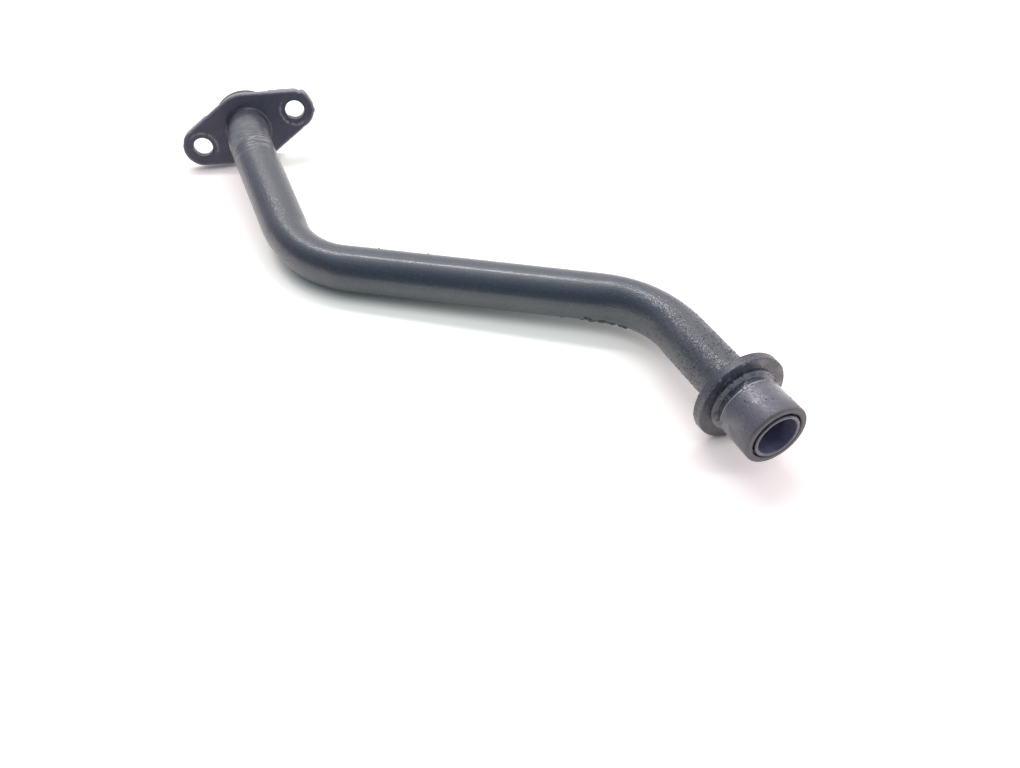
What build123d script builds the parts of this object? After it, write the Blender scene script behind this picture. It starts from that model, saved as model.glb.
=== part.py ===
from build123d import *
import os

# Turbo oil line: a bent steel tube with a two-bolt flange brazed to one end
# and a turned collar and spigot brazed over the other. Millimetres, +Z up,
# lying on the floor as it comes to rest, on its flange, low bend and collar.

# Tube
tube_od = 15.0
tube_wall = 1.5
bend_radius = 30.0
tube_end_relief_od = 13.9
tube_end_relief_length = 2.0
tube_end_chamfer = 0.25

# Route of the tube's centre line: flange face, three corners, open mouth
flange_centre = Vector(-76.95, 68.7, 13.7)
flange_corner = Vector(-73.7, 56.25, 16.7)
low_corner = Vector(-46.1, -1.45, 7.35)
high_corner = Vector(66.85, -20.55, 10.4)
mouth_centre = Vector(93.7, -76.85, 15.18)

# Flange
bolt_pitch = 37.3
bolt_hole_diameter = 7.0
ear_radius = 7.15
bolt_line_turn = 15.7
waist_radius = 12.9
web_thickness = 2.2
pad_thickness = 4.0
pad_relief_radius = 15.5
front_edge_radius = 0.9
back_edge_chamfer = 0.3
hole_edge_chamfer = 0.25

# Boss on the flange's mating side, with the pilot that carries the seal
boss_diameter = 24.9
boss_depth = 5.15
pilot_diameter = 21.4
pilot_depth = 7.2
pilot_chamfer = 0.4
tube_setback = 0.5
seal_section = 1.9

# End fitting, measured back along its axis from the tube's mouth
fitting_face = 0.3
spigot_diameter = 19.0
spigot_nose_radius = 0.8
groove_start = 12.3
groove_end = 14.95
groove_diameter = 17.2
step_diameter = 20.4
collar_front = 15.85
collar_thickness = 2.85
collar_diameter = 27.6
collar_edge_radius = 0.4
mouth_lip_chamfer = 0.3

# Brazed joints: gap round the tube, and the fillet's leg along the tube and face.
# The hollow is how deep the fillet's arc dips, as a share of the leg.
braze_gap = 0.05
flange_braze_leg = 1.4
fitting_braze_leg = 1.1
braze_hollow = 0.3

# How near an edge's radius must be to the one that is looked for
radius_match = 0.01

tube_radius = tube_od / 2
tube_bore_radius = tube_radius - tube_wall
socket_radius = tube_radius + braze_gap
collar_back = collar_front + collar_thickness

flange_normal = (flange_corner - flange_centre).normalized()
end_direction = (mouth_centre - high_corner).normalized()

# The line lies over towards the flange's waist and one ear, so the bolt line is
# turned from the horizontal about the flange's own axis.
level_in_flange = Vector(0, 0, 1).cross(flange_normal).normalized()
ear_direction = level_in_flange.rotate(Axis((0, 0, 0), tuple(flange_normal)), bolt_line_turn)
flange_plane = Plane(origin=flange_centre, x_dir=ear_direction, z_dir=flange_normal)
flange_axis = Axis(tuple(flange_centre), tuple(flange_normal))

# Half-section planes: X is the radius, Y runs back from the face or mouth
flange_section = Plane(origin=flange_centre, x_dir=ear_direction, z_dir=flange_plane.y_dir)
end_plane = Plane(origin=mouth_centre, x_dir=Vector(0, 0, 1).cross(end_direction), z_dir=end_direction)
end_section = Plane(origin=mouth_centre, x_dir=end_plane.x_dir, z_dir=end_plane.y_dir)
end_axis = Axis(tuple(mouth_centre), tuple(end_direction))


# Oil tube: one bent length, open from the boss to the mouth
tube_start = flange_centre - flange_normal * (pilot_depth - tube_setback)
with BuildPart() as oil_tube:
    with BuildLine() as route:
        FilletPolyline(tube_start, flange_corner, low_corner, high_corner, mouth_centre,
                       radius=bend_radius)
    with BuildSketch(Plane(origin=tube_start, x_dir=ear_direction, z_dir=flange_normal)):
        Circle(tube_radius)
        Circle(tube_bore_radius, mode=Mode.SUBTRACT)
    sweep(path=route.wires()[0])
    # the mouth is turned down inside the fitting, which leaves a thin gap round it
    with BuildSketch(end_plane):
        Circle(socket_radius)
        Circle(tube_end_relief_od / 2, mode=Mode.SUBTRACT)
    extrude(amount=-tube_end_relief_length, mode=Mode.SUBTRACT)
    mouth_face = oil_tube.faces().sort_by(end_axis)[-1]
    chamfer(mouth_face.edges(), tube_end_chamfer)
oil_tube.part.label = "oil_tube"


def draw_flange_outline():
    """Waisted rhombus: two ear circles and the middle circle, joined by tangents."""
    with Locations((-bolt_pitch / 2, 0), (bolt_pitch / 2, 0)):
        Circle(ear_radius)
    Circle(waist_radius)
    make_hull()


def draw_braze_section(face_distance, direction, leg):
    """Hollow triangle between the tube and a face, its long side a concave arc."""
    tip = (tube_radius, face_distance + direction * leg)
    root = (tube_radius, face_distance)
    toe = (tube_radius + leg, face_distance)
    dip = (tube_radius + braze_hollow * leg, face_distance + direction * braze_hollow * leg)
    Line(tip, root)
    Line(root, toe)
    ThreePointArc(toe, dip, tip)


# Drain flange: one piece, thin in the web, with ear pads and a boss behind
with BuildPart() as drain_flange:
    with BuildSketch(flange_plane):
        draw_flange_outline()
    extrude(amount=-web_thickness)
    with BuildSketch(flange_plane.offset(-web_thickness)):
        draw_flange_outline()
        Circle(pad_relief_radius, mode=Mode.SUBTRACT)
    extrude(amount=web_thickness - pad_thickness)
    front_face = drain_flange.faces().sort_by(flange_axis)[-1]
    fillet(front_face.outer_wire().edges(), front_edge_radius)
    pad_faces = drain_flange.faces().sort_by(flange_axis)[0:2]
    chamfer(pad_faces.edges(), back_edge_chamfer)
    with BuildSketch(flange_plane.offset(-web_thickness)):
        Circle(boss_diameter / 2)
    extrude(amount=web_thickness - boss_depth)
    with BuildSketch(flange_plane.offset(-boss_depth)):
        Circle(pilot_diameter / 2)
    extrude(amount=boss_depth - pilot_depth)
    pilot_face = drain_flange.faces().sort_by(flange_axis)[0]
    chamfer(pilot_face.edges(), pilot_chamfer)
    with BuildSketch(flange_plane):
        Circle(socket_radius)
        with Locations((-bolt_pitch / 2, 0), (bolt_pitch / 2, 0)):
            Circle(bolt_hole_diameter / 2)
    extrude(amount=-pilot_depth, mode=Mode.SUBTRACT)
    front_face = drain_flange.faces().sort_by(flange_axis)[-1]
    bolt_edges = front_face.edges().filter_by(GeomType.CIRCLE).filter_by(
        lambda edge: abs(edge.radius - bolt_hole_diameter / 2) < radius_match)
    chamfer(bolt_edges, hole_edge_chamfer)
drain_flange.part.label = "drain_flange"


# Flange seal: rubber ring on the pilot, against the boss
with BuildPart() as flange_seal:
    with BuildSketch(flange_section):
        with Locations(((pilot_diameter + seal_section) / 2, boss_depth + seal_section / 2)):
            Circle(seal_section / 2)
    revolve(axis=flange_axis)
flange_seal.part.label = "flange_seal"


# End fitting: turned in one piece, spigot with a rounded nose, seal groove,
# low step and collar, bored through for the tube
with BuildPart() as end_fitting:
    with BuildSketch(end_section):
        with BuildLine():
            Polyline(
                (socket_radius, fitting_face),
                (spigot_diameter / 2, fitting_face),
                (spigot_diameter / 2, groove_start),
                (groove_diameter / 2, groove_start),
                (groove_diameter / 2, groove_end),
                (step_diameter / 2, groove_end),
                (step_diameter / 2, collar_front),
                (collar_diameter / 2, collar_front),
                (collar_diameter / 2, collar_back),
                (socket_radius, collar_back),
                close=True,
            )
        make_face()
    revolve(axis=end_axis)
    nose_face = end_fitting.faces().sort_by(end_axis)[-1]
    fillet(nose_face.outer_wire().edges(), spigot_nose_radius)
    nose_face = end_fitting.faces().sort_by(end_axis)[-1]
    chamfer(nose_face.inner_wires()[0].edges(), mouth_lip_chamfer)
    rim_edges = end_fitting.edges().filter_by(GeomType.CIRCLE).filter_by(
        lambda edge: abs(edge.radius - collar_diameter / 2) < radius_match)
    fillet(rim_edges, collar_edge_radius)
end_fitting.part.label = "end_fitting"


# Flange braze: fillet round the tube on the flange's front face
with BuildPart() as flange_braze:
    with BuildSketch(flange_section):
        with BuildLine():
            draw_braze_section(0, -1, flange_braze_leg)
        make_face()
    revolve(axis=flange_axis)
flange_braze.part.label = "flange_braze"


# Fitting braze: fillet round the tube on the collar's back face
with BuildPart() as fitting_braze:
    with BuildSketch(end_section):
        with BuildLine():
            draw_braze_section(collar_back, 1, fitting_braze_leg)
        make_face()
    revolve(axis=end_axis)
fitting_braze.part.label = "fitting_braze"


os.makedirs("parts", exist_ok=True)
export_step(oil_tube.part, "parts/oil_tube.step")
export_step(drain_flange.part, "parts/drain_flange.step")
export_step(flange_seal.part, "parts/flange_seal.step")
export_step(end_fitting.part, "parts/end_fitting.step")
export_step(flange_braze.part, "parts/flange_braze.step")
export_step(fitting_braze.part, "parts/fitting_braze.step")
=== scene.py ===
"""Looks of a bent steel turbo oil line, lying on a pale table as it came off the engine."""

import math

import bmesh
import bpy
from mathutils import Matrix, Vector, noise


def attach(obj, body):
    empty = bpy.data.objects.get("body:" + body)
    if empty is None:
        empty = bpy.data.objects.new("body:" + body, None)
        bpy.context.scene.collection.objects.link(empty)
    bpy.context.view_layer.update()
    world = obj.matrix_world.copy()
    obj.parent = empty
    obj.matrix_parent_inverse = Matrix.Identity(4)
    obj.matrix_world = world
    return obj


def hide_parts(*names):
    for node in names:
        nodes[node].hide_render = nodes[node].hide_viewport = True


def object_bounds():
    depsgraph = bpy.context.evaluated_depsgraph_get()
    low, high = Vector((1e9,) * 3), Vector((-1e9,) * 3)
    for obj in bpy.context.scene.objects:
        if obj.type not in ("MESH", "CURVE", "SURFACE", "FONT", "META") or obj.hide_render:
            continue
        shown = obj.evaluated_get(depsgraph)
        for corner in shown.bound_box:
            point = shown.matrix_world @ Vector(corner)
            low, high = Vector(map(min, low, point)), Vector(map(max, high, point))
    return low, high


MM = 0.001

# Kinds of node and settings that come up often
MATH = "ShaderNodeMath"
VECTOR_MATH = "ShaderNodeVectorMath"
MAP_RANGE = "ShaderNodeMapRange"
NOISE = "ShaderNodeTexNoise"
BUMP = "ShaderNodeBump"
SMOOTH = {"interpolation_type": "SMOOTHSTEP"}
OF_COLOURS = {"data_type": "RGBA"}

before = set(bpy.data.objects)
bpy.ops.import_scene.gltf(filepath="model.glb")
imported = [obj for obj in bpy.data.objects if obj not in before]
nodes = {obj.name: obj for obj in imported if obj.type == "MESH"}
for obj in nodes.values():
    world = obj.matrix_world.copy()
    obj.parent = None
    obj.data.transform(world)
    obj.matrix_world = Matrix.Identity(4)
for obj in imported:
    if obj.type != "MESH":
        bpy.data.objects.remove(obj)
cad_low, cad_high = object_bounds()

# Route of the tube's centre line, and its section
flange_centre = Vector((-76.95, 68.7, 13.7)) * MM
flange_corner = Vector((-73.7, 56.25, 16.7)) * MM
low_corner = Vector((-46.1, -1.45, 7.35)) * MM
high_corner = Vector((66.85, -20.55, 10.4)) * MM
mouth_centre = Vector((93.7, -76.85, 15.18)) * MM
bend_radius = 30.0 * MM
tube_radius = 7.5 * MM
bore_radius = 6.0 * MM
mouth_radius = 6.95 * MM
mouth_relief = 2.0 * MM
mouth_edge = 0.25 * MM
inside_flange = 6.7 * MM
bend_flattening = 0.7 * MM

# How finely the pieces are drawn, and how far along the route a bend's curl is measured
wall_step = 0.5 * MM
lip_step = 0.4 * MM
bore_step = 2.5 * MM
fitting_step = 0.3 * MM
socket_step = 2.0 * MM
flange_step = 0.24 * MM
braze_steps = 8
seal_sides = 24
points_in_bend = 72
curl_reach = 5 * MM
merge_distance = 0.0005 * MM
cad_merge_distance = 0.001 * MM
sharpest_smooth_edge = math.radians(38)

# Flange, boss and seal, measured from the flange's front face towards the engine
boss_depth = 5.15 * MM
pilot_radius = 10.7 * MM
seal_radius = 0.95 * MM
half_pitch = 37.3 / 2 * MM
bolt_hole_radius = 3.5 * MM
ear_radius = 7.15 * MM
waist_radius = 12.9 * MM
bolt_line_turn = math.radians(15.7)
flange_braze_leg = 1.4 * MM

# End fitting, measured back from the tube's mouth
fitting_face = 0.3 * MM
spigot_radius = 9.5 * MM
nose_radius = 0.8 * MM
groove_start = 12.3 * MM
groove_end = 14.95 * MM
groove_radius = 8.6 * MM
step_radius = 10.2 * MM
collar_front = 15.85 * MM
collar_back = 18.7 * MM
collar_radius = 13.8 * MM
collar_edge = 0.4 * MM
socket_radius = 7.55 * MM
mouth_lip = 0.3 * MM
fitting_braze_leg = 1.1 * MM
braze_hollow = 0.3

# Camera, from the fit to the outlines in the photograph
camera_place = Vector((23.55, -217.05, 187.04)) * MM
camera_pitch_down = math.radians(47.6)
camera_roll = math.radians(1.23)
camera_lens = 30.0
camera_sensor = 36.0

flange_normal = (flange_corner - flange_centre).normalized()
end_direction = (mouth_centre - high_corner).normalized()
level_in_flange = Vector((0, 0, 1)).cross(flange_normal).normalized()
ear_direction = Matrix.Rotation(bolt_line_turn, 3, flange_normal) @ level_in_flange
waist_direction = flange_normal.cross(ear_direction)
flange_turn = Matrix((ear_direction, waist_direction, flange_normal)).transposed()
tube_start = flange_centre - flange_normal * inside_flange


def linear(hex_colour):
    """sRGB hex value, such as '2b3038', as a linear RGBA colour."""
    channels = [int(hex_colour[i:i + 2], 16) / 255 for i in (0, 2, 4)]
    lit = [c / 12.92 if c <= 0.04045 else ((c + 0.055) / 1.055) ** 2.4 for c in channels]
    return (*lit, 1.0)


def per_mm(size_mm):
    """Texture scale that gives features of this size on coordinates in metres."""
    return 1 / (size_mm * MM)


def add_node(tree, kind, settings=None, *values, **inputs):
    """A node with its settings, or with its operation as one word, and with its inputs in
    order or by name: each is a value, a socket, or a node for its first output."""
    node = tree.nodes.new(kind)
    if isinstance(settings, str):
        settings = {"operation": settings}
    for name, value in (settings or {}).items():
        setattr(node, name, value)
    for key, value in [*enumerate(values), *inputs.items()]:
        if isinstance(key, str):
            key = int(key[1:]) if key[1:].isdigit() else key.replace("_", " ")
        if isinstance(value, bpy.types.Node):
            value = value.outputs[0]
        if isinstance(value, bpy.types.NodeSocket):
            tree.links.new(value, node.inputs[key])
        else:
            node.inputs[key].default_value = value
    return node


def new_material(name):
    """An empty node material, its tree, and the place on its piece."""
    material = bpy.data.materials.new(name)
    material.use_nodes = True
    tree = material.node_tree
    tree.nodes.clear()
    return material, tree, add_node(tree, "ShaderNodeTexCoord").outputs["Object"]


def add_object(name, data):
    """A new object in the scene, at the origin."""
    added = bpy.data.objects.new(name, data)
    bpy.context.scene.collection.objects.link(added)
    return added


def set_camera():
    """The camera of the photograph."""
    camera = add_object("camera", bpy.data.cameras.new("camera"))
    camera.data.lens = camera_lens
    camera.data.sensor_width = camera_sensor
    camera.data.clip_start = 0.01
    camera.data.clip_end = 20
    turn = Matrix.Rotation(math.pi / 2 - camera_pitch_down, 4, "X") @ Matrix.Rotation(camera_roll, 4, "Z")
    camera.matrix_world = Matrix.Translation(camera_place) @ turn
    bpy.context.scene.camera = camera


def add_area_light(name, place, width, depth, power, colour):
    """A soft lamp that faces the object, its long side level."""
    light = add_object(name, bpy.data.lights.new(name, "AREA"))
    light.data.shape = "RECTANGLE"
    light.data.size = width
    light.data.size_y = depth
    light.data.energy = power
    light.data.color = colour
    light.location = place
    light.rotation_mode = "QUATERNION"
    light.rotation_quaternion = Vector((0, place[1], place[2])).to_track_quat("Z", "Y")


def light_tent():
    """Photo tent: a lamp strip along its rear top edge, bright rear walls, a dim front."""
    add_area_light("lamp_strip", place=(-0.22, 0.55, 1.22), width=1.05, depth=0.07, power=7.5,
                   colour=(1, 0.98, 1))
    world = bpy.data.worlds.new("tent_walls")
    world.use_nodes = True
    tree = world.node_tree
    tree.nodes.clear()
    path = add_node(tree, "ShaderNodeLightPath")
    coords = add_node(tree, "ShaderNodeTexCoord")
    lean = math.radians(28)
    rise = math.radians(18)
    middle_of_wall = (math.sin(lean) * math.cos(rise), math.cos(lean) * math.cos(rise), math.sin(rise))
    rearward = add_node(tree, VECTOR_MATH, "DOT_PRODUCT", coords.outputs["Generated"], middle_of_wall)
    level = add_node(tree, MAP_RANGE, SMOOTH, Value=rearward.outputs["Value"], From_Min=-0.8,
                     From_Max=0.72, To_Min=0.2, To_Max=1.25)
    cool = add_node(tree, MAP_RANGE, Value=rearward.outputs["Value"], From_Min=-0.2, From_Max=0.55)
    cast = add_node(tree, "ShaderNodeMix", OF_COLOURS, _0=cool, _6=linear("c3d2ea"),
                    _7=linear("f4f3f6")).outputs[2]
    walls = add_node(tree, "ShaderNodeBackground", Color=cast, Strength=level)
    seen = add_node(tree, "ShaderNodeBackground", Color=(1, 1, 1, 1), Strength=1.0)
    mix = add_node(tree, "ShaderNodeMixShader", Fac=path.outputs["Is Camera Ray"], _1=walls, _2=seen)
    add_node(tree, "ShaderNodeOutputWorld", Surface=mix)
    bpy.context.scene.world = world


def make_table():
    """White table top: it takes the shadow, and shows white to the camera and in gloss."""
    mesh = bpy.data.meshes.new("table")
    half = 3.0
    mesh.from_pydata([(-half, -half, 0), (half, -half, 0), (half, half, 0), (-half, half, 0)],
                     [], [(0, 1, 2, 3)])
    table = add_object("table", mesh)
    material, tree, place = new_material("white_table_top")
    path = add_node(tree, "ShaderNodeLightPath")
    shown = add_node(tree, MATH, "MAXIMUM", path.outputs["Is Camera Ray"], path.outputs["Is Glossy Ray"])
    # close to the object the glow is cut down by ambient occlusion, which paints a deeper contact shadow
    # on the board
    open_sky = add_node(tree, "ShaderNodeAmbientOcclusion", {"samples": 8}, Distance=5 * MM)
    glow = add_node(tree, MAP_RANGE, Value=open_sky.outputs["AO"], From_Min=0.3, From_Max=0.9,
                    To_Min=0.02, To_Max=0.44)
    glow = add_node(tree, MATH, "MULTIPLY", shown, glow)
    across = add_node(tree, "ShaderNodeSeparateXYZ", Vector=place)
    aside = add_node(tree, MATH, "ABSOLUTE", across)
    side = add_node(tree, MAP_RANGE, SMOOTH, Value=aside, From_Min=0.04, From_Max=0.09)
    tint = add_node(tree, "ShaderNodeMix", OF_COLOURS, _0=side, _6=linear("f1f2e9"),
                    _7=linear("f9eeea")).outputs[2]
    board = add_node(tree, "ShaderNodeBsdfDiffuse", Color=tint)
    light = add_node(tree, "ShaderNodeEmission", Color=tint, Strength=glow)
    both = add_node(tree, "ShaderNodeAddShader", _0=board, _1=light)
    add_node(tree, "ShaderNodeOutputMaterial", Surface=both)
    mesh.materials.append(material)


def divide_outline(corners, step):
    """Points along straight pieces between (along, radius) corners, about one step apart."""
    points = []
    for start, end in zip(corners, corners[1:]):
        count = max(1, round(math.dist(start, end) / step))
        points += [(start[0] + (end[0] - start[0]) * i / count,
                    start[1] + (end[1] - start[1]) * i / count) for i in range(count)]
    return points


def round_corner(centre, radius, first_degrees, last_degrees, count=5):
    """Points of an arc in the section, both ends included."""
    turns = [math.radians(first_degrees + (last_degrees - first_degrees) * i / count)
             for i in range(count + 1)]
    return [(centre[0] + radius * math.cos(t), centre[1] + radius * math.sin(t)) for t in turns]


def route_length(corners, radius):
    """Length of a route whose corners are rounded to one radius."""
    length = sum((b - a).length for a, b in zip(corners, corners[1:]))
    for before, corner, after in zip(corners, corners[1:], corners[2:]):
        turn = (corner - before).angle(after - corner)
        length -= radius * (2 * math.tan(turn / 2) - turn)
    return length


def tube_outline(length):
    """Outside from the flange to the mouth, over the lip, and back through the bore."""
    outside = divide_outline([(0, tube_radius), (length - mouth_relief, tube_radius)], wall_step)
    relief = divide_outline([(length - mouth_relief, tube_radius), (length - mouth_relief, mouth_radius),
                             (length - mouth_edge, mouth_radius), (length, mouth_radius - mouth_edge),
                             (length, bore_radius + mouth_edge), (length - mouth_edge, bore_radius)],
                            lip_step)
    bore = divide_outline([(length - mouth_edge, bore_radius), (0, bore_radius), (0, tube_radius)],
                          bore_step)
    return (outside + relief + bore)[::-1]


def fitting_outline():
    """Turned section: nose, spigot, groove, step, collar and the bored socket."""
    nose = round_corner((fitting_face + nose_radius, spigot_radius - nose_radius), nose_radius, 180, 90, 6)
    rim_middle = collar_radius - collar_edge
    front_rim = round_corner((collar_front + collar_edge, rim_middle), collar_edge, 180, 90)
    back_rim = round_corner((collar_back - collar_edge, rim_middle), collar_edge, 90, 0)
    corners = [(fitting_face, socket_radius + mouth_lip), *nose, (groove_start, spigot_radius),
               (groove_start, groove_radius), (groove_end, groove_radius), (groove_end, step_radius),
               (collar_front, step_radius), *front_rim, *back_rim, (collar_back, socket_radius)]
    socket = divide_outline([(collar_back, socket_radius), (fitting_face + mouth_lip, socket_radius),
                             (fitting_face, socket_radius + mouth_lip)], socket_step)
    return (divide_outline(corners, fitting_step) + socket)[::-1]


def braze_outline(face, leg):
    """Hollow fillet: along the tube, over the concave face and back along the flat."""
    dip = leg * braze_hollow
    corners = [(face, tube_radius + leg), (face + dip, tube_radius + dip), (face + leg, tube_radius)]
    (x1, y1), (x2, y2), (x3, y3) = corners
    steps = [i / braze_steps for i in range(braze_steps + 1)]
    hollow = [((1 - t) ** 2 * x1 + 2 * t * (1 - t) * (2 * x2 - (x1 + x3) / 2) + t * t * x3,
               (1 - t) ** 2 * y1 + 2 * t * (1 - t) * (2 * y2 - (y1 + y3) / 2) + t * t * y3) for t in steps]
    return hollow[::-1] + [(face, tube_radius)]


def seal_outline():
    """Round section of the ring, against the boss."""
    centre = (boss_depth + seal_radius, pilot_radius + seal_radius)
    return round_corner(centre, seal_radius, 0, 360, seal_sides)[:-1]


def new_tree(name, **inputs):
    """A node tree that makes a mesh, with its inputs, each given by its usual value or kind."""
    tree = bpy.data.node_groups.new(name, "GeometryNodeTree")
    for label, value in inputs.items():
        kind = value if isinstance(value, str) else type(value).__name__.capitalize()
        socket = tree.interface.new_socket(name=label.replace("_", " "), in_out="INPUT",
                                           socket_type="NodeSocket" + kind)
        if kind != value:
            socket.default_value = value
    tree.interface.new_socket(name="Mesh", in_out="OUTPUT", socket_type="NodeSocketGeometry")
    return tree, tree.nodes.new("NodeGroupInput").outputs


def swept_section_tree():
    """Rings of a section set along a rounded route, flattened in the bends, and roughened."""
    tree, given = new_tree("swept_section", Section="Geometry", Route="Object", Bend_Radius=bend_radius,
                           Flattening=0.0, Segments=96, Wave_Height=0.03 * MM, Wave_Size=6 * MM,
                           Grime_Height=0.0, Grime_Size=0.8 * MM, Grime_Centre="Vector",
                           Grime_Reach=20 * MM, Inside_Reach=0.0, Material="Material",
                           Inside_Material="Material")

    # a grid with one row for each point of the section and one column for each segment
    rings = add_node(tree, "GeometryNodeAttributeDomainSize", {"component": "MESH"},
                     Geometry=given["Section"]).outputs["Point Count"]
    rows = add_node(tree, MATH, "ADD", rings, 1)
    columns = add_node(tree, MATH, "ADD", given["Segments"], 1)
    grid = add_node(tree, "GeometryNodeMeshGrid", Size_X=rings, Size_Y=given["Segments"], Vertices_X=rows,
                    Vertices_Y=columns)
    position = add_node(tree, "GeometryNodeInputPosition")
    cell = add_node(tree, "ShaderNodeSeparateXYZ", Vector=position).outputs
    half = add_node(tree, MATH, "MULTIPLY", rings, 0.5)
    row = add_node(tree, MATH, "ADD", cell["X"], half)
    row = add_node(tree, MATH, "ROUND", row)
    row = add_node(tree, MATH, "MODULO", row, rings)
    turn = add_node(tree, MATH, "DIVIDE", cell["Y"], given["Segments"])
    turn = add_node(tree, MATH, "ADD", turn, 0.5)
    turn = add_node(tree, MATH, "MULTIPLY", turn, math.tau)
    point = add_node(tree, "GeometryNodeSampleIndex", {"data_type": "FLOAT_VECTOR", "domain": "POINT"},
                     Geometry=given["Section"], Value=position, Index=row)
    section = add_node(tree, "ShaderNodeSeparateXYZ", Vector=point).outputs
    along, radius = section["X"], section["Y"]

    # the route, its corners rounded, and the ring's own directions there
    corners = add_node(tree, "GeometryNodeObjectInfo", {"transform_space": "ORIGINAL"},
                       Object=given["Route"]).outputs["Geometry"]
    route = add_node(tree, "GeometryNodeFilletCurve", {"mode": "POLY"}, Curve=corners,
                     Radius=given["Bend Radius"], Count=points_in_bend)
    here = add_node(tree, "GeometryNodeSampleCurve", {"mode": "LENGTH"}, Curves=route,
                    Length=along).outputs
    side = add_node(tree, VECTOR_MATH, "CROSS_PRODUCT", here["Tangent"], here["Normal"])
    cosine = add_node(tree, MATH, "COSINE", turn)
    sine = add_node(tree, MATH, "SINE", turn)
    outward = add_node(tree, VECTOR_MATH, "SCALE", here["Normal"], Scale=cosine)
    sideways = add_node(tree, VECTOR_MATH, "SCALE", side, Scale=sine)
    outward = add_node(tree, VECTOR_MATH, "ADD", outward, sideways)

    # in a bend the wall draws in on the outside, less on the inside, and bulges between
    tangents = []
    for direction in ("ADD", "SUBTRACT"):
        beside = add_node(tree, MATH, direction, along, curl_reach)
        sample = add_node(tree, "GeometryNodeSampleCurve", {"mode": "LENGTH"}, Curves=route,
                          Length=beside)
        tangents.append(sample.outputs["Tangent"])
    tightness = add_node(tree, MATH, "DIVIDE", given["Bend Radius"], 2 * curl_reach)
    curl = add_node(tree, VECTOR_MATH, "SUBTRACT", *tangents)
    curl = add_node(tree, VECTOR_MATH, "SCALE", curl, Scale=tightness)
    inward = add_node(tree, VECTOR_MATH, "DOT_PRODUCT", curl, outward).outputs["Value"]
    bent = add_node(tree, VECTOR_MATH, "DOT_PRODUCT", curl, curl).outputs["Value"]
    squared = add_node(tree, MATH, "MULTIPLY", inward, inward)
    signed = add_node(tree, MATH, "ABSOLUTE", inward)
    signed = add_node(tree, MATH, "MULTIPLY", inward, signed)
    outer_pull = add_node(tree, MATH, "MULTIPLY", squared, 0.75)
    inner_pull = add_node(tree, MATH, "MULTIPLY", signed, 0.25)
    pull = add_node(tree, MATH, "SUBTRACT", outer_pull, inner_pull)
    bulge = add_node(tree, MATH, "SUBTRACT", bent, squared)
    bulge = add_node(tree, MATH, "MULTIPLY", bulge, 0.25)
    change = add_node(tree, MATH, "SUBTRACT", bulge, pull)
    change = add_node(tree, MATH, "MULTIPLY", change, given["Flattening"])
    new_radius = add_node(tree, MATH, "ADD", radius, change)
    ring_place = add_node(tree, VECTOR_MATH, "SCALE", outward, Scale=new_radius)
    ring_place = add_node(tree, VECTOR_MATH, "ADD", here["Position"], ring_place)

    # how far along and round the wall each point is, for the paints
    round_wall = add_node(tree, MATH, "MULTIPLY", turn, radius)
    wrap = add_node(tree, "ShaderNodeCombineXYZ", X=along, Y=round_wall)
    mapped = add_node(tree, "GeometryNodeStoreNamedAttribute",
                      {"data_type": "FLOAT2", "domain": "CORNER"}, Geometry=grid, Name="wrap", Value=wrap)
    inside = add_node(tree, "FunctionNodeCompare", "LESS_THAN", radius, given["Inside Reach"])
    split = add_node(tree, "GeometryNodeStoreNamedAttribute", {"data_type": "BOOLEAN", "domain": "FACE"},
                     Geometry=mapped, Name="inside", Value=inside)
    placed = add_node(tree, "GeometryNodeSetPosition", Geometry=split, Position=ring_place)
    closed = add_node(tree, "GeometryNodeMergeByDistance", Geometry=placed, Distance=merge_distance)

    # slow waves over all of it, and lumps and pits round one place
    normal = add_node(tree, "GeometryNodeInputNormal")
    wave_scale = add_node(tree, MATH, "DIVIDE", 1.0, given["Wave Size"])
    waves = add_node(tree, NOISE, Vector=position, Detail=2.0, Scale=wave_scale)
    waves = add_node(tree, MATH, "SUBTRACT", waves, 0.5)
    waves = add_node(tree, MATH, "MULTIPLY", waves, given["Wave Height"])
    lump_scale = add_node(tree, MATH, "DIVIDE", 1.0, given["Grime Size"])
    lumps = add_node(tree, NOISE, Vector=position, Detail=3.0, Roughness=0.6, Scale=lump_scale)
    lumps = add_node(tree, MAP_RANGE, {"clamp": False}, Value=lumps, From_Min=0.5, From_Max=0.75)
    away = add_node(tree, VECTOR_MATH, "DISTANCE", position, given["Grime Centre"]).outputs["Value"]
    full = add_node(tree, MATH, "MULTIPLY", given["Grime Reach"], 0.35)
    near = add_node(tree, MAP_RANGE, SMOOTH, Value=away, From_Min=full, From_Max=given["Grime Reach"],
                    To_Min=1.0, To_Max=0.0)
    grime = add_node(tree, MATH, "MULTIPLY", lumps, near)
    grime = add_node(tree, MATH, "MULTIPLY", grime, given["Grime Height"])
    height = add_node(tree, MATH, "ADD", waves, grime)
    offset = add_node(tree, VECTOR_MATH, "SCALE", normal, Scale=height)
    rough = add_node(tree, "GeometryNodeSetPosition", Geometry=closed, Offset=offset)

    angle = add_node(tree, "GeometryNodeInputMeshEdgeAngle")
    sharp = add_node(tree, "FunctionNodeCompare", "GREATER_THAN", angle, sharpest_smooth_edge)
    edges = add_node(tree, "GeometryNodeStoreNamedAttribute", {"data_type": "BOOLEAN", "domain": "EDGE"},
                     Geometry=rough, Name="sharp_edge", Value=sharp)
    painted = add_node(tree, "GeometryNodeSetMaterial", Geometry=edges, Material=given["Material"])
    kept = add_node(tree, "GeometryNodeInputNamedAttribute", {"data_type": "BOOLEAN"}, Name="inside")
    lined = add_node(tree, "GeometryNodeSetMaterial", Geometry=painted,
                     Selection=kept.outputs["Attribute"], Material=given["Inside Material"])
    solid = add_node(tree, "GeometryNodeRealizeInstances", Geometry=lined)
    add_node(tree, "NodeGroupOutput", Mesh=solid)
    return tree


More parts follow.
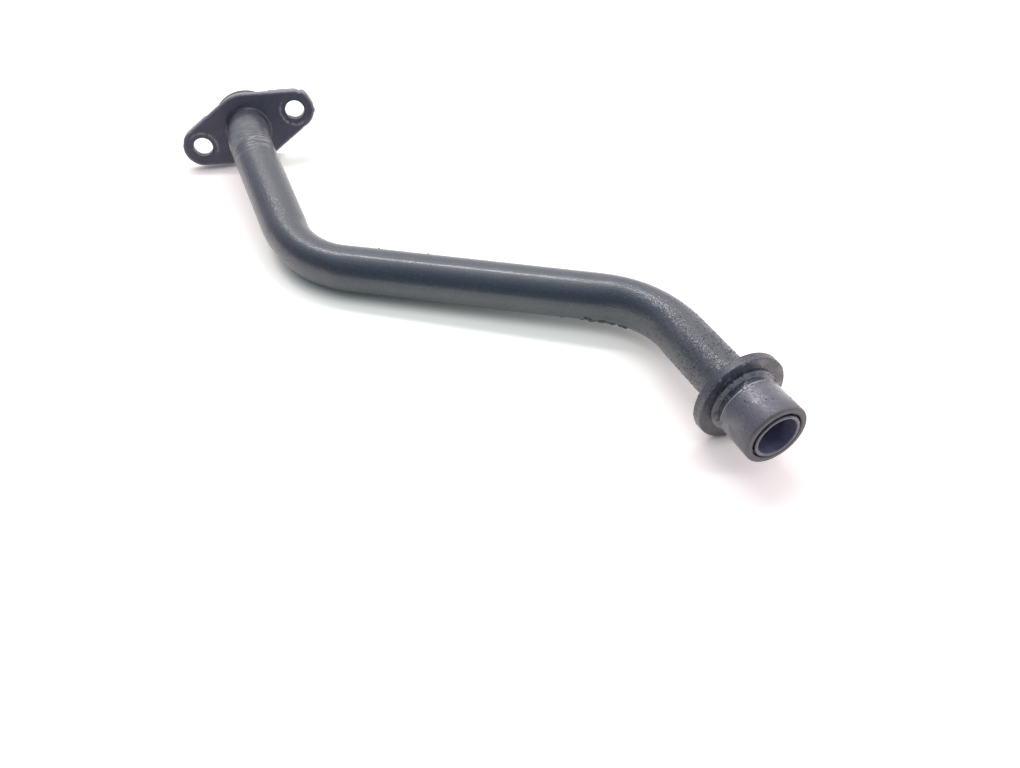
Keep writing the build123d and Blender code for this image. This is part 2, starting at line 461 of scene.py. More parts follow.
def keep_in_box(mesh):
    """Sets points that waves and dirt have moved out of the solids' own box back onto it."""
    for vertex in mesh.vertices:
        vertex.co = [min(max(value, low), high)
                     for value, low, high in zip(vertex.co, cad_low, cad_high)]


def line_mesh(name, points):
    """A mesh of loose points joined in a line, as the start of a node tree."""
    mesh = bpy.data.meshes.new(name)
    mesh.from_pydata(points, [(i, i + 1) for i in range(len(points) - 1)], [])
    return mesh


def apply_tree(name, start, tree, **inputs):
    """Runs a node tree on a mesh and keeps its result as a plain mesh object."""
    helper = add_object(name + "_start", start)
    modifier = helper.modifiers.new(tree.name, "NODES")
    modifier.node_group = tree
    for socket in tree.interface.items_tree:
        key = socket.name.replace(" ", "_")
        if socket.in_out == "INPUT" and key in inputs:
            modifier[socket.identifier] = inputs[key]
    shaped = helper.evaluated_get(bpy.context.evaluated_depsgraph_get())
    mesh = bpy.data.meshes.new_from_object(shaped)
    mesh.name = name
    keep_in_box(mesh)
    bpy.data.objects.remove(helper)
    piece = add_object(name, mesh)
    mesh.shade_smooth()
    return piece


def make_swept(name, corners, outline, slot, replaced, **inputs):
    """A swept or turned piece along a route, in the place of its solid."""
    curve = bpy.data.curves.new(name + "_route", "CURVE")
    curve.dimensions = "3D"
    spline = curve.splines.new("POLY")
    spline.points.add(len(corners) - 1)
    for point, corner in zip(spline.points, corners):
        point.co = (*corner, 1)
    route = add_object(name + "_route", curve)
    start = line_mesh(name + "_outline", [(along, radius, 0) for along, radius in outline])
    piece = apply_tree(name, start, swept_tree, Route=route, **inputs)
    bpy.data.objects.remove(route)
    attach(piece, "root")
    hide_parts(replaced)
    return piece


def scattered_grains_tree():
    """Lumpy grains thrown over a surface, as densely as its own grain_density says."""
    tree, given = new_tree("scattered_grains", Surface="Geometry", Grains_per_Square_Metre=1.0e6,
                           Smallest=0.08 * MM, Largest=0.25 * MM, Flatness=0.5, Lumpiness=0.35, Facets=1,
                           Seed=1, Material="Material")
    share = add_node(tree, "GeometryNodeInputNamedAttribute", {"data_type": "FLOAT"},
                     Name="grain_density")
    density = add_node(tree, MATH, "MULTIPLY", share.outputs["Attribute"],
                       given["Grains per Square Metre"])
    thrown = add_node(tree, "GeometryNodeDistributePointsOnFaces", {"distribute_method": "RANDOM"},
                      Mesh=given["Surface"], Density=density, Seed=given["Seed"])
    grain = add_node(tree, "GeometryNodeMeshIcoSphere", Radius=1.0, Subdivisions=given["Facets"])
    size = add_node(tree, "FunctionNodeRandomValue", {"data_type": "FLOAT"}, _2=given["Smallest"],
                    _3=given["Largest"], Seed=given["Seed"]).outputs[1]
    longer = add_node(tree, "FunctionNodeRandomValue", {"data_type": "FLOAT"}, _2=0.7, _3=1.5,
                      Seed=given["Seed"]).outputs[1]
    length = add_node(tree, MATH, "MULTIPLY", size, longer)
    height = add_node(tree, MATH, "MULTIPLY", size, given["Flatness"])
    scale = add_node(tree, "ShaderNodeCombineXYZ", X=length, Y=size, Z=height)
    placed = add_node(tree, "GeometryNodeInstanceOnPoints", Points=thrown, Instance=grain,
                      Rotation=thrown.outputs["Rotation"], Scale=scale)
    solid = add_node(tree, "GeometryNodeRealizeInstances", Geometry=placed)
    position = add_node(tree, "GeometryNodeInputPosition")
    lumps = add_node(tree, NOISE, Vector=position, Scale=per_mm(0.25), Detail=1.0)
    centred = add_node(tree, VECTOR_MATH, "SUBTRACT", lumps.outputs["Color"], (0.5, 0.5, 0.5))
    reach = add_node(tree, MATH, "MULTIPLY", given["Lumpiness"], given["Largest"])
    offset = add_node(tree, VECTOR_MATH, "SCALE", centred, Scale=reach)
    rough = add_node(tree, "GeometryNodeSetPosition", Geometry=solid, Offset=offset)
    painted = add_node(tree, "GeometryNodeSetMaterial", Geometry=rough, Material=given["Material"])
    add_node(tree, "NodeGroupOutput", Mesh=painted)
    return tree


def make_grains(name, surface, share_at, slot, **inputs):
    """Grains on a piece, as dense at each point as share_at gives for its place and normal."""
    start = surface.data.copy()
    density = start.attributes.new("grain_density", "FLOAT", "POINT")
    normals = [tuple(normal.vector) for normal in start.vertex_normals]
    density.data.foreach_set("value", [share_at(vertex.co, Vector(normal))
                                       for vertex, normal in zip(start.vertices, normals)])
    piece = apply_tree(name, start, grains_tree, **inputs)
    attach(piece, "root")


def ramp(value, low, high):
    """0 below low, 1 above high and smooth between."""
    share = min(max((value - low) / (high - low), 0.0), 1.0)
    return share * share * (3 - 2 * share)


def rim_distance(place):
    """How far a point in the flange's plane lies outside its outline; inside is negative."""
    narrowing = (waist_radius - ear_radius) / half_pitch
    slope = narrowing / math.sqrt(1 - narrowing ** 2)
    along, up = abs(place.x), abs(place.y)
    middle = min(max(along - slope * up, 0.0), half_pitch)
    return math.dist((along, up), (middle, 0)) - (waist_radius - narrowing * middle)


def make_flange():
    """The flange as a fine even mesh, with its knocks and bolt-head marks cut into it."""
    mesh = nodes["drain_flange"].data.copy()
    shape = bmesh.new()
    shape.from_mesh(mesh)
    bmesh.ops.remove_doubles(shape, verts=shape.verts, dist=cad_merge_distance)
    shape.to_mesh(mesh)
    shape.free()
    to_flange = Matrix.LocRotScale(flange_centre, flange_turn.to_quaternion(), None)
    mesh.transform(to_flange.inverted())
    helper = add_object("flange_start", mesh)
    even = helper.modifiers.new("even_mesh", "REMESH")
    even.mode = "VOXEL"
    even.voxel_size = flange_step
    mesh = bpy.data.meshes.new_from_object(helper.evaluated_get(bpy.context.evaluated_depsgraph_get()))
    bpy.data.objects.remove(helper)
    mesh.name = "worn_flange"
    wear_flange(mesh)
    mesh.transform(to_flange)
    keep_in_box(mesh)
    piece = add_object("worn_flange", mesh)
    mesh.materials.clear()
    mesh.materials.append(rubbed_plate_paint())
    mesh.shade_smooth()
    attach(piece, "root")
    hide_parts("drain_flange")


# Where a bolt's head has turned on an ear: it pressed a disc and left a raised ring, which
# shows most towards an angle of its own on each ear
bolt_head_radius = 5.4 * MM
head_ring_radius = 5.35 * MM
head_ring_width = 0.4 * MM
head_ring_height = 0.07 * MM
pressed_depth = 0.05 * MM
ring_shows_towards = {-1: math.radians(25), 1: math.radians(215)}

# How deep the dents along the rounded rim are, and the band of painted highlight on the boss's edge: the
# depth and the radius between which it comes in, and the radius between which it goes
dent_depth = 0.12 * MM
boss_highlight_band = ((2.4 * MM, 2.8 * MM), (11.8 * MM, 12.3 * MM), (12.7 * MM, 13.2 * MM))

# Knocks on the rim of one ear: angle from the ear's own direction, how far it spreads
# along the rim, and how far it stands out or in, in millimetres
rim_knocks = ((-24, 0.55, 0.42), (30, 1.1, 0.22), (41, 1.0, 0.34), (52, 0.8, -0.30), (8, 1.2, -0.12))


def wear_flange(mesh):
    """Moves the flange's surface, in its own directions, and stores where its paint is worn and where its
    rim and the boss's edge get a painted highlight.
    """
    ring_wear = mesh.attributes.new("ring_wear", "FLOAT", "POINT")
    rim_wear = mesh.attributes.new("rim_wear", "FLOAT", "POINT")
    normals = [normal.vector.copy() for normal in mesh.vertex_normals]
    for vertex, normal in zip(mesh.vertices, normals):
        place = vertex.co.copy()
        side = 1 if place.x > 0 else -1
        from_hole = Vector((place.x - side * half_pitch, place.y))
        reach = from_hole.length
        rim = rim_distance(place)
        front = ramp(normal.z, 0.5, 0.95)
        grain = noise.noise(place * per_mm(3.5)) * 0.02 + noise.noise(place * per_mm(0.9)) * 0.012
        # where a bolt's head has turned: pressed inside, with a raised broken ring round it
        pressed = (ramp(bolt_head_radius - reach, 0, 0.3 * MM)
                   * ramp(reach, bolt_hole_radius, bolt_hole_radius + 0.4 * MM))
        ring = math.exp(-((reach - head_ring_radius) / head_ring_width) ** 2)
        ragged = 0.5 + 0.5 * noise.noise(place * per_mm(1.3) + Vector((7, 0, 0)))
        turned = math.atan2(from_hole.y, from_hole.x)
        shown = (ramp(math.cos(turned - ring_shows_towards[side]), -0.35, 0.75)
                 * ramp(ragged, 0.2, 0.6))
        ring_wear.data[vertex.index].value = front * shown * ring
        move = grain * MM + front * (head_ring_height * ring * shown - pressed_depth * pressed)
        # rounded rim: small dents, and a few knocks on one ear
        edge = ramp(rim, -1.2 * MM, -0.1 * MM)
        dents = ramp(noise.noise(place * per_mm(2.2) + Vector((0, 3, 0))), 0.25, 0.6)
        move -= edge * dents * dent_depth
        if side > 0 and edge > 0:
            for angle, width, height in rim_knocks:
                arc = (turned - math.radians(angle)) * ear_radius
                move += edge * height * MM * math.exp(-(arc / (width * MM)) ** 2)
        rough = 0.5 + 0.5 * noise.noise(place * per_mm(0.7))
        # light grey along the rim: rubbed paint and painted highlight; the band on the boss's edge:
        # painted highlight
        depth, inner, outer = boss_highlight_band
        boss_highlight = (ramp(-place.z, *depth) * ramp(place.xy.length, *inner)
                     * (1 - ramp(place.xy.length, *outer)))
        rim_wear.data[vertex.index].value = max(edge, boss_highlight * 0.7) * (0.35 + 0.65 * rough)
        vertex.co = place + normal * move


def dipped_black_paint():
    """Black dip paint on drawn steel tube: satin with dust grains in it, a thin film of oil
    over it, scored round by a tool near the flange and pitted near the collar."""
    material, tree, place = new_material("dipped_black_paint")
    wrap = add_node(tree, "ShaderNodeAttribute", {"attribute_name": "wrap"}).outputs["Vector"]
    along = add_node(tree, "ShaderNodeSeparateXYZ", Vector=wrap)
    axes = add_node(tree, "ShaderNodeSeparateXYZ", Vector=place)

    # the coat is bluer in the middle run and more violet at both ends: a painted tint for the colour of
    # the light it reflects there
    clouds = add_node(tree, NOISE, Vector=place, Scale=per_mm(22), Detail=4.0, Roughness=0.6)
    blue = add_node(tree, MAP_RANGE, SMOOTH, Value=along, From_Min=75 * MM, From_Max=112 * MM)
    plum = add_node(tree, MAP_RANGE, SMOOTH, Value=along, From_Min=185 * MM, From_Max=222 * MM,
                    To_Min=1.0, To_Max=0.0)
    middle = add_node(tree, MATH, "MULTIPLY", blue, plum)
    cloudy = add_node(tree, MAP_RANGE, Value=clouds, From_Min=0.35, From_Max=0.7, To_Max=0.3)

    # dust grains of about 0.15 mm, drawn at 0.42 mm so that they show
    grains = add_node(tree, NOISE, Vector=place, Scale=per_mm(0.42), Detail=2.0, Roughness=0.7)
    flecks = add_node(tree, MAP_RANGE, Value=grains, From_Min=0.54, From_Max=0.72, To_Max=0.38)

    # fine scores that run round the tube from the flange to the first bend, drawn about
    # half a millimetre apart so that they show
    quick = add_node(tree, MATH, "MULTIPLY", along, per_mm(0.55))
    slow = add_node(tree, MATH, "MULTIPLY", axes.outputs["X"], per_mm(4.5))
    rise = add_node(tree, MATH, "MULTIPLY", axes.outputs["Z"], per_mm(6))
    lines = add_node(tree, "ShaderNodeCombineXYZ", X=quick, Y=slow, Z=rise)
    scores = add_node(tree, NOISE, Vector=lines, Scale=1.0, Detail=3.0, Roughness=0.65)
    first_run = add_node(tree, MAP_RANGE, Value=along, From_Min=10 * MM, From_Max=46 * MM)
    depth = add_node(tree, "ShaderNodeFloatCurve", Value=first_run)
    points = depth.mapping.curves[0].points
    for x, y in ((0.12, 0.42), (0.4, 0.4), (0.5, 0.95), (0.6, 0.85), (0.66, 0.2), (0.8, 0.06)):
        points.new(x, y)
    points[0].location = (0.0, 0.25)
    points[-1].location = (1.0, 0.0)
    depth.mapping.update()
    cut = add_node(tree, MAP_RANGE, Value=scores, From_Min=0.5, From_Max=0.7)
    scored = add_node(tree, MATH, "MULTIPLY", cut, depth)

    # pits and crust from the right bend to the collar
    crust = add_node(tree, MAP_RANGE, SMOOTH, Value=along, From_Min=168 * MM, From_Max=236 * MM,
                     To_Min=0.12, To_Max=1.0)
    cells = add_node(tree, "ShaderNodeTexVoronoi", Vector=place, Scale=per_mm(1.1))
    pits = add_node(tree, MAP_RANGE, Value=cells, From_Min=0.12, From_Max=0.34, To_Min=1.0, To_Max=0.0)
    pitted = add_node(tree, MATH, "MULTIPLY", pits, crust)
    pitted = add_node(tree, MATH, "MULTIPLY", pitted, clouds)

    # the tube's own end, turned and left bare
    end_ring = add_node(tree, MAP_RANGE, Value=along, From_Min=256.1 * MM, From_Max=256.3 * MM)

    # dust makes the film uneven: matt specks in satin, and wetter patches
    rough = add_node(tree, MAP_RANGE, Value=clouds, From_Min=0.3, From_Max=0.7, To_Min=0.5, To_Max=0.42)
    crusted = add_node(tree, MATH, "MULTIPLY_ADD", crust, 0.06, rough)
    film = add_node(tree, MAP_RANGE, Value=grains, From_Min=0.35, From_Max=0.65, To_Min=0.3, To_Max=0.8)

    # the coat is coarser in the bends and towards both ends, and blistered where coarsest
    early = add_node(tree, MAP_RANGE, Value=blue, To_Min=1.0, To_Max=0.0)
    late = add_node(tree, MAP_RANGE, SMOOTH, Value=along, From_Min=150 * MM, From_Max=195 * MM)
    coarse = add_node(tree, MATH, "MAXIMUM", early, late)
    coarse = add_node(tree, MAP_RANGE, Value=coarse, To_Min=0.3, To_Max=0.8)
    fine = add_node(tree, BUMP, Strength=coarse, Distance=0.08 * MM, Height=grains)
    blisters = add_node(tree, NOISE, Vector=place, Scale=per_mm(0.8), Detail=1.0)
    blistered = add_node(tree, MATH, "SUBTRACT", coarse, 0.3)
    blistered = add_node(tree, BUMP, Strength=blistered, Distance=0.16 * MM, Height=blisters, Normal=fine)
    scored_bump = add_node(tree, BUMP, Strength=0.6, Distance=0.05 * MM, Height=scored, Normal=blistered)
    hollow = add_node(tree, BUMP, {"invert": True}, Strength=0.8, Distance=0.12 * MM, Height=pitted,
                      Normal=scored_bump)
    base = linear("2f313e")
    for share, colour in ((middle, "1c2e3d"), (cloudy, "4a4d52"), (flecks, "747982"), (scored, "b2aeb2"),
                          (pitted, "1b1d21"), (end_ring, "62626d")):
        base = add_node(tree, "ShaderNodeMix", OF_COLOURS, _0=share, _6=base,
                        _7=linear(colour)).outputs[2]
    paint = add_node(tree, "ShaderNodeBsdfPrincipled", Base_Color=base, Roughness=crusted, IOR=1.75,
                     Normal=hollow, Coat_Weight=film, Coat_Roughness=0.11, Coat_Normal=hollow)
    add_node(tree, "ShaderNodeOutputMaterial", Surface=paint)
    return material


def rubbed_plate_paint():
    """Black paint on a machined steel plate: flatter than the tube's, rubbed grey where the bolt heads
    turned, and light grey along its rounded rim and the boss's edge, there partly rubbed and partly
    painted highlight."""
    material, tree, place = new_material("rubbed_plate_paint")
    ring = add_node(tree, "ShaderNodeAttribute", {"attribute_name": "ring_wear"}).outputs["Fac"]
    rim = add_node(tree, "ShaderNodeAttribute", {"attribute_name": "rim_wear"}).outputs["Fac"]
    clouds = add_node(tree, NOISE, Vector=place, Scale=per_mm(9), Detail=4.0, Roughness=0.65)
    cloudy = add_node(tree, MAP_RANGE, Value=clouds, From_Min=0.35, From_Max=0.65)

    # dust grains, drawn at 0.5 mm so that they show, and they break up the rubbed and painted-highlight
    # places
    grains = add_node(tree, NOISE, Vector=place, Scale=per_mm(0.5), Detail=3.0, Roughness=0.7)
    flecks = add_node(tree, MAP_RANGE, Value=grains, From_Min=0.5, From_Max=0.72, To_Max=0.5)
    # wear of the bolt heads, and the rim's rubbed paint with painted highlight
    wear_and_highlight = add_node(tree, MATH, "MULTIPLY", rim, 0.9)
    wear_and_highlight = add_node(tree, MATH, "MAXIMUM", wear_and_highlight, ring)
    broken = add_node(tree, MAP_RANGE, Value=grains, From_Min=0.35, From_Max=0.6, To_Min=0.35, To_Max=1.0)
    wear_and_highlight = add_node(tree, MATH, "MULTIPLY", wear_and_highlight, broken)
    rough = add_node(tree, MAP_RANGE, Value=clouds, From_Min=0.3, From_Max=0.7, To_Min=0.55, To_Max=0.47)
    bump = add_node(tree, BUMP, Strength=0.4, Distance=0.04 * MM, Height=grains)
    base = linear("424355")
    for share, colour in ((cloudy, "4e4e5d"), (flecks, "6c6b7a"), (wear_and_highlight, "aaa6ac")):
        base = add_node(tree, "ShaderNodeMix", OF_COLOURS, _0=share, _6=base,
                        _7=linear(colour)).outputs[2]
    paint = add_node(tree, "ShaderNodeBsdfPrincipled", Base_Color=base, Roughness=rough, IOR=1.65,
                     Normal=bump, Coat_Weight=0.08, Coat_Roughness=0.25)
    add_node(tree, "ShaderNodeOutputMaterial", Surface=paint)
    return material


def oily_turned_paint():
    """Black paint on turned steel, rubbed thin on the spigot, wet with engine oil in and
    about the seal groove, and worn to grey on the nose."""
    material, tree, place = new_material("oily_turned_paint")
    wrap = add_node(tree, "ShaderNodeAttribute", {"attribute_name": "wrap"}).outputs["Vector"]
    back = add_node(tree, "ShaderNodeSeparateXYZ", Vector=wrap)
    clouds = add_node(tree, NOISE, Vector=place, Scale=per_mm(7), Detail=4.0, Roughness=0.65)
    cloudy = add_node(tree, MAP_RANGE, Value=clouds, From_Min=0.36, From_Max=0.64)
    spigot = add_node(tree, MAP_RANGE, SMOOTH, Value=back, From_Min=11.9 * MM, From_Max=12.4 * MM,
                      To_Min=1.0, To_Max=0.0)
    thin = add_node(tree, MATH, "MULTIPLY", spigot, 0.65)

    # dust grains, drawn at 0.6 mm so that they show, and a nose that is rubbed to grey
    grains = add_node(tree, NOISE, Vector=place, Scale=per_mm(0.6), Detail=3.0, Roughness=0.75)
    flecks = add_node(tree, MAP_RANGE, Value=grains, From_Min=0.5, From_Max=0.68, To_Max=0.55)
    nose = add_node(tree, MAP_RANGE, SMOOTH, Value=back, From_Min=0.7 * MM, From_Max=1.7 * MM,
                    To_Min=0.75, To_Max=0.0)

    # pits on the spigot and the collar, and none in the groove
    cells = add_node(tree, "ShaderNodeTexVoronoi", Vector=place, Scale=per_mm(1.5))
    pits = add_node(tree, MAP_RANGE, Value=cells, From_Min=0.1, From_Max=0.3, To_Min=1.0, To_Max=0.0)
    patchy = add_node(tree, MAP_RANGE, Value=clouds, From_Min=0.45, From_Max=0.6)
    pitted = add_node(tree, MATH, "MULTIPLY", pits, patchy)
    plain = add_node(tree, MAP_RANGE, Value=back, From_Min=15.7 * MM, From_Max=16.2 * MM)
    plain = add_node(tree, MATH, "MAXIMUM", plain, spigot)
    pitted = add_node(tree, MATH, "MULTIPLY", pitted, plain)
    layers = [(cloudy, "3a3a47"), (thin, "625d6b"), (flecks, "7b7b84"), (nose, "5a5b5a"),
              (pitted, "1d1e20")]

    # painted highlight on the lips of the groove and its step, in broken light grey lines, where they are
    # also rubbed
    broken = add_node(tree, MATH, "MULTIPLY_ADD", cloudy, 0.6, 0.4)
    for lip, width in ((groove_start, 0.4 * MM), (groove_end, 0.34 * MM)):
        off = add_node(tree, MATH, "SUBTRACT", back, lip)
        off = add_node(tree, MATH, "ABSOLUTE", off)
        painted_lip_highlight = add_node(tree, MAP_RANGE, Value=off, From_Min=width * 0.5, From_Max=width, To_Min=1.0,
                          To_Max=0.0)
        painted_lip_highlight = add_node(tree, MATH, "MULTIPLY", painted_lip_highlight, broken)
        layers.append((painted_lip_highlight, "b9b9bd"))

    # oil: in runs from the nose back, wettest from the middle of the spigot to the step, and
    # thin on the collar
    wet = add_node(tree, MAP_RANGE, SMOOTH, Value=back, From_Min=1.0 * MM, From_Max=7.0 * MM)
    dry = add_node(tree, MAP_RANGE, SMOOTH, Value=back, From_Min=15.8 * MM, From_Max=17.0 * MM,
                   To_Min=1.0, To_Max=0.15)
    oil = add_node(tree, MATH, "MULTIPLY", wet, dry)
    runs = add_node(tree, MAP_RANGE, Value=clouds, From_Min=0.4, From_Max=0.55, To_Min=0.25, To_Max=1.0)
    oil = add_node(tree, MATH, "MULTIPLY", oil, runs)
    film = add_node(tree, MAP_RANGE, Value=oil, To_Min=0.1, To_Max=1.0)
    rough = add_node(tree, MAP_RANGE, Value=spigot, To_Min=0.46, To_Max=0.54)
    ripples = add_node(tree, NOISE, Vector=place, Scale=per_mm(0.7), Detail=1.0)
    fine = add_node(tree, BUMP, Strength=0.45, Distance=0.04 * MM, Height=grains)
    hollow = add_node(tree, BUMP, {"invert": True}, Strength=0.8, Distance=0.1 * MM, Height=pitted,
                      Normal=fine)
    wavy = add_node(tree, BUMP, Strength=0.9, Distance=0.2 * MM, Height=ripples)
    base = linear("29313c")
    for share, colour in layers:
        base = add_node(tree, "ShaderNodeMix", OF_COLOURS, _0=share, _6=base,
                        _7=linear(colour)).outputs[2]
    paint = add_node(tree, "ShaderNodeBsdfPrincipled", Base_Color=base, Roughness=rough, IOR=1.7,
                     Normal=hollow, Coat_Weight=film, Coat_Roughness=0.04, Coat_Normal=wavy)
    add_node(tree, "ShaderNodeOutputMaterial", Surface=paint)
    return material


def painted_braze():
    """Silver braze fillet under the same dip paint: lumpy, with the paint pulled thin on it."""
    material, tree, place = new_material("painted_braze")
    lumps = add_node(tree, NOISE, Vector=place, Scale=per_mm(1.6), Detail=3.0)
    thin = add_node(tree, MAP_RANGE, Value=lumps, From_Min=0.45, From_Max=0.7)
    base = add_node(tree, "ShaderNodeMix", OF_COLOURS, _0=thin, _6=linear("2b2c38"),
                    _7=linear("4c4c57")).outputs[2]
    bump = add_node(tree, BUMP, Strength=0.4, Distance=0.08 * MM, Height=lumps)
    paint = add_node(tree, "ShaderNodeBsdfPrincipled", Base_Color=base, Roughness=0.42, IOR=1.7,
                     Normal=bump, Coat_Weight=0.2, Coat_Roughness=0.2)
    add_node(tree, "ShaderNodeOutputMaterial", Surface=paint)
    return material


def moulded_seal_rubber():
    """Black seal rubber, aged olive by oil: matt, with a faint mottle from its mould."""
    material, tree, place = new_material("moulded_seal_rubber")
    mottle = add_node(tree, NOISE, Vector=place, Scale=per_mm(1.2), Detail=3.0)
    aged = add_node(tree, MAP_RANGE, Value=mottle, From_Min=0.35, From_Max=0.65)
    base = add_node(tree, "ShaderNodeMix", OF_COLOURS, _0=aged, _6=linear("4b4b40"),
                    _7=linear("5a594a")).outputs[2]
    bump = add_node(tree, BUMP, Strength=0.3, Distance=0.05 * MM, Height=mottle)
    rubber = add_node(tree, "ShaderNodeBsdfPrincipled", Base_Color=base, Roughness=0.62, IOR=1.52,
                      Normal=bump)
    add_node(tree, "ShaderNodeOutputMaterial", Surface=rubber)
    return material


def oil_stained_bore():
    """Drawn steel bore with a lacquer of burnt oil: dull violet grey with darker runs."""
    material, tree, place = new_material("oil_stained_bore")
    stain = add_node(tree, NOISE, Vector=place, Scale=per_mm(4), Detail=4.0, Roughness=0.6)
    dark = add_node(tree, MAP_RANGE, Value=stain, From_Min=0.35, From_Max=0.7)
    base = add_node(tree, "ShaderNodeMix", OF_COLOURS, _0=dark, _6=linear("7d7d97"),
                    _7=linear("5f5f78")).outputs[2]
    bump = add_node(tree, BUMP, Strength=0.3, Distance=0.05 * MM, Height=stain)
    lining = add_node(tree, "ShaderNodeBsdfPrincipled", Base_Color=base, Roughness=0.5, IOR=1.5,
                      Normal=bump)
    add_node(tree, "ShaderNodeOutputMaterial", Surface=lining)
    return material


def baked_road_grime():
    """Dust and oil baked to a crust: near black, with paler grit in it that also stands as painted glints,
    and oil over it.
    """
    material, tree, place = new_material("baked_road_grime")
    grit = add_node(tree, NOISE, Vector=place, Scale=per_mm(0.5), Detail=2.0)
    pale_grit_and_glint = add_node(tree, MAP_RANGE, Value=grit, From_Min=0.5, From_Max=0.65)
    base = add_node(tree, "ShaderNodeMix", OF_COLOURS, _0=pale_grit_and_glint, _6=linear("303238"),
                    _7=linear("6a6b72")).outputs[2]
    bump = add_node(tree, BUMP, Strength=0.5, Distance=0.05 * MM, Height=grit)
    crust = add_node(tree, "ShaderNodeBsdfPrincipled", Base_Color=base, Roughness=0.55, IOR=1.5,
                     Normal=bump, Coat_Weight=0.8, Coat_Roughness=0.15)
    add_node(tree, "ShaderNodeOutputMaterial", Surface=crust)
    return material


def engine_oil():
    """Used engine oil in beads on black paint: glossy, and paler than real, a painted glint, so that they
    show.
    """
    material, tree, place = new_material("engine_oil")
    depth = add_node(tree, NOISE, Vector=place, Scale=per_mm(1.0), Detail=2.0)
    base = add_node(tree, "ShaderNodeMix", OF_COLOURS, _0=depth, _6=linear("5a5c63"),
                    _7=linear("85868c")).outputs[2]
    oil = add_node(tree, "ShaderNodeBsdfPrincipled", Base_Color=base, Roughness=0.08, IOR=1.48,
                   Coat_Weight=1.0, Coat_Roughness=0.03)
    add_node(tree, "ShaderNodeOutputMaterial", Surface=oil)
    return material


# Where the crust by the collar is thickest, and which way the clots on the middle run face
crust_centre = Vector((80, -58, 19)) * MM
lower_front = Vector((-0.08, -0.72, -0.69)).normalized()


def crust_share(point, normal):
    """Crust thickens along the last run towards the collar, thickest on its upper left side."""
    offset = point - mouth_centre
    if (offset - end_direction * offset.dot(end_direction)).dot(normal) < 0:
        return 0.0
    near = 1 - ramp((point - crust_centre).length, 6 * MM, 46 * MM)
    return near * near


def underside_share(point, normal):
    """A line of clots along the lower front of the middle run, by the second bend."""
    along = 0.3 * ramp(point.x, 34 * MM, 42 * MM) + 0.7 * ramp(point.x, 45 * MM, 50 * MM)
    along *= 1 - ramp(point.x, 57 * MM, 61 * MM)
    return along * ramp(normal.dot(lower_front), 0.93, 0.985)


def top_share(point, normal):
    """A few lone specks on the upper edge of the middle run."""
    along = ramp(point.x, -25 * MM, -15 * MM) * (1 - ramp(point.x, 20 * MM, 30 * MM))
    return along * ramp(normal.dot(-lower_front), 0.9, 0.97)


def groove_share(point, normal):
    """Oil gathers in the groove and against the collar, on the upper side."""
    back = (mouth_centre - point).dot(end_direction)
    wet = ramp(back, 10.5 * MM, 12.6 * MM) * (1 - ramp(back, 15.9 * MM, 16.3 * MM))
    return wet * ramp(normal.z, -0.2, 0.6)


def collar_share(point, normal):
    """Crust on the collar and the spigot, most on their lower left."""
    back = (mouth_centre - point).dot(end_direction)
    on_collar = ramp(back, 15.9 * MM, 16.6 * MM)
    leftward = ramp(-normal.x - 0.3 * normal.z, -0.4, 0.8)
    return (0.25 + 0.75 * on_collar) * (0.2 + 0.8 * leftward) * ramp(back, 1.5 * MM, 3 * MM)


set_camera()
light_tent()
make_table()
bpy.context.scene.view_settings.view_transform = "Standard"
swept_tree = swept_section_tree()
grains_tree = scattered_grains_tree()
tube_paint = dipped_black_paint()
fitting_paint = oily_turned_paint()
braze = painted_braze()
rubber = moulded_seal_rubber()
bore_lining = oil_stained_bore()
grime = baked_road_grime()
oil = engine_oil()

# Routes that the sections are swept along, and the axes of the turned pieces
tube_route = [tube_start, flange_corner, low_corner, high_corner, mouth_centre]
fitting_axis = [mouth_centre, mouth_centre - end_direction * 30 * MM]
flange_axis_back = [flange_centre, flange_centre - flange_normal * 20 * MM]
flange_axis_front = [flange_centre, flange_centre + flange_normal * 20 * MM]

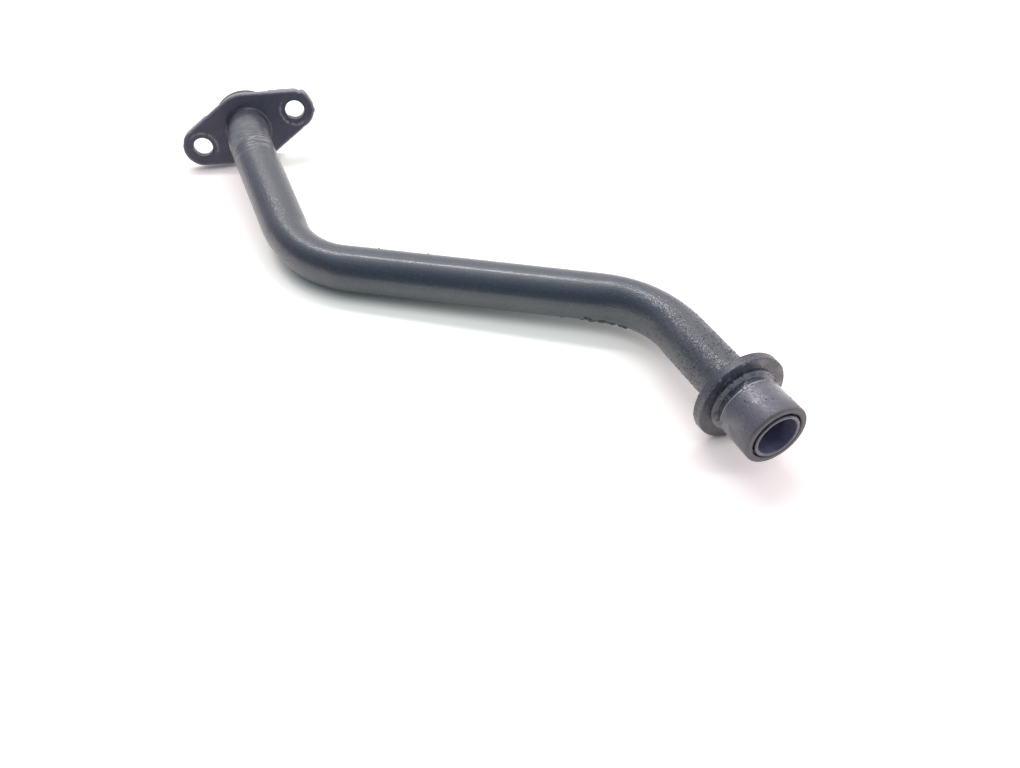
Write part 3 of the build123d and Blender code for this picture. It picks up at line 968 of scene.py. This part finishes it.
tube = make_swept("bent_tube", tube_route, tube_outline(route_length(tube_route, bend_radius)),
                  "tube_paint", "oil_tube", Segments=112, Flattening=bend_flattening,
                  Material=tube_paint, Inside_Material=bore_lining, Inside_Reach=bore_radius + 0.05 * MM,
                  Grime_Height=0.08 * MM, Grime_Centre=Vector((84, -50, 18)) * MM, Grime_Reach=40 * MM)
fitting = make_swept("spigot_and_collar", fitting_axis, fitting_outline(), "fitting_paint",
                     "end_fitting", Segments=224, Material=fitting_paint, Wave_Height=0.05 * MM,
                     Wave_Size=3 * MM, Grime_Height=0.05 * MM, Grime_Centre=Vector((80, -66, 8)) * MM,
                     Grime_Reach=22 * MM)
make_swept("seal_ring", flange_axis_back, seal_outline(), "seal_rubber", "flange_seal", Segments=160,
           Material=rubber)
make_swept("flange_braze_bead", flange_axis_front, braze_outline(0, flange_braze_leg), "braze_paint",
           "flange_braze", Segments=160, Material=braze, Wave_Height=0.07 * MM, Wave_Size=2.5 * MM)
make_swept("collar_braze_bead", fitting_axis, braze_outline(collar_back, fitting_braze_leg),
           "braze_paint", "fitting_braze", Segments=160, Material=braze, Wave_Height=0.12 * MM,
           Wave_Size=2.5 * MM)
make_flange()

make_grains("crust_by_collar", tube, crust_share, "tube_paint", Grains_per_Square_Metre=1.7e6,
            Smallest=0.06 * MM, Largest=0.22 * MM, Flatness=0.5, Seed=3, Material=grime)
make_grains("clots_under_bend", tube, underside_share, "tube_paint", Grains_per_Square_Metre=0.55e6,
            Smallest=0.15 * MM, Largest=0.75 * MM, Flatness=0.7, Lumpiness=0.5, Facets=2, Seed=5,
            Material=grime)
make_grains("specks_on_top", tube, top_share, "tube_paint", Grains_per_Square_Metre=0.025e6,
            Smallest=0.1 * MM, Largest=0.28 * MM, Flatness=0.8, Facets=2, Seed=11, Material=grime)
make_grains("oil_beads", fitting, groove_share, "fitting_paint", Grains_per_Square_Metre=0.8e6,
            Smallest=0.12 * MM, Largest=0.45 * MM, Flatness=0.25, Lumpiness=0.1, Facets=2, Seed=7,
            Material=oil)
make_grains("crust_on_collar", fitting, collar_share, "fitting_paint", Grains_per_Square_Metre=0.2e6,
            Smallest=0.06 * MM, Largest=0.3 * MM, Flatness=0.5, Seed=9, Material=grime)
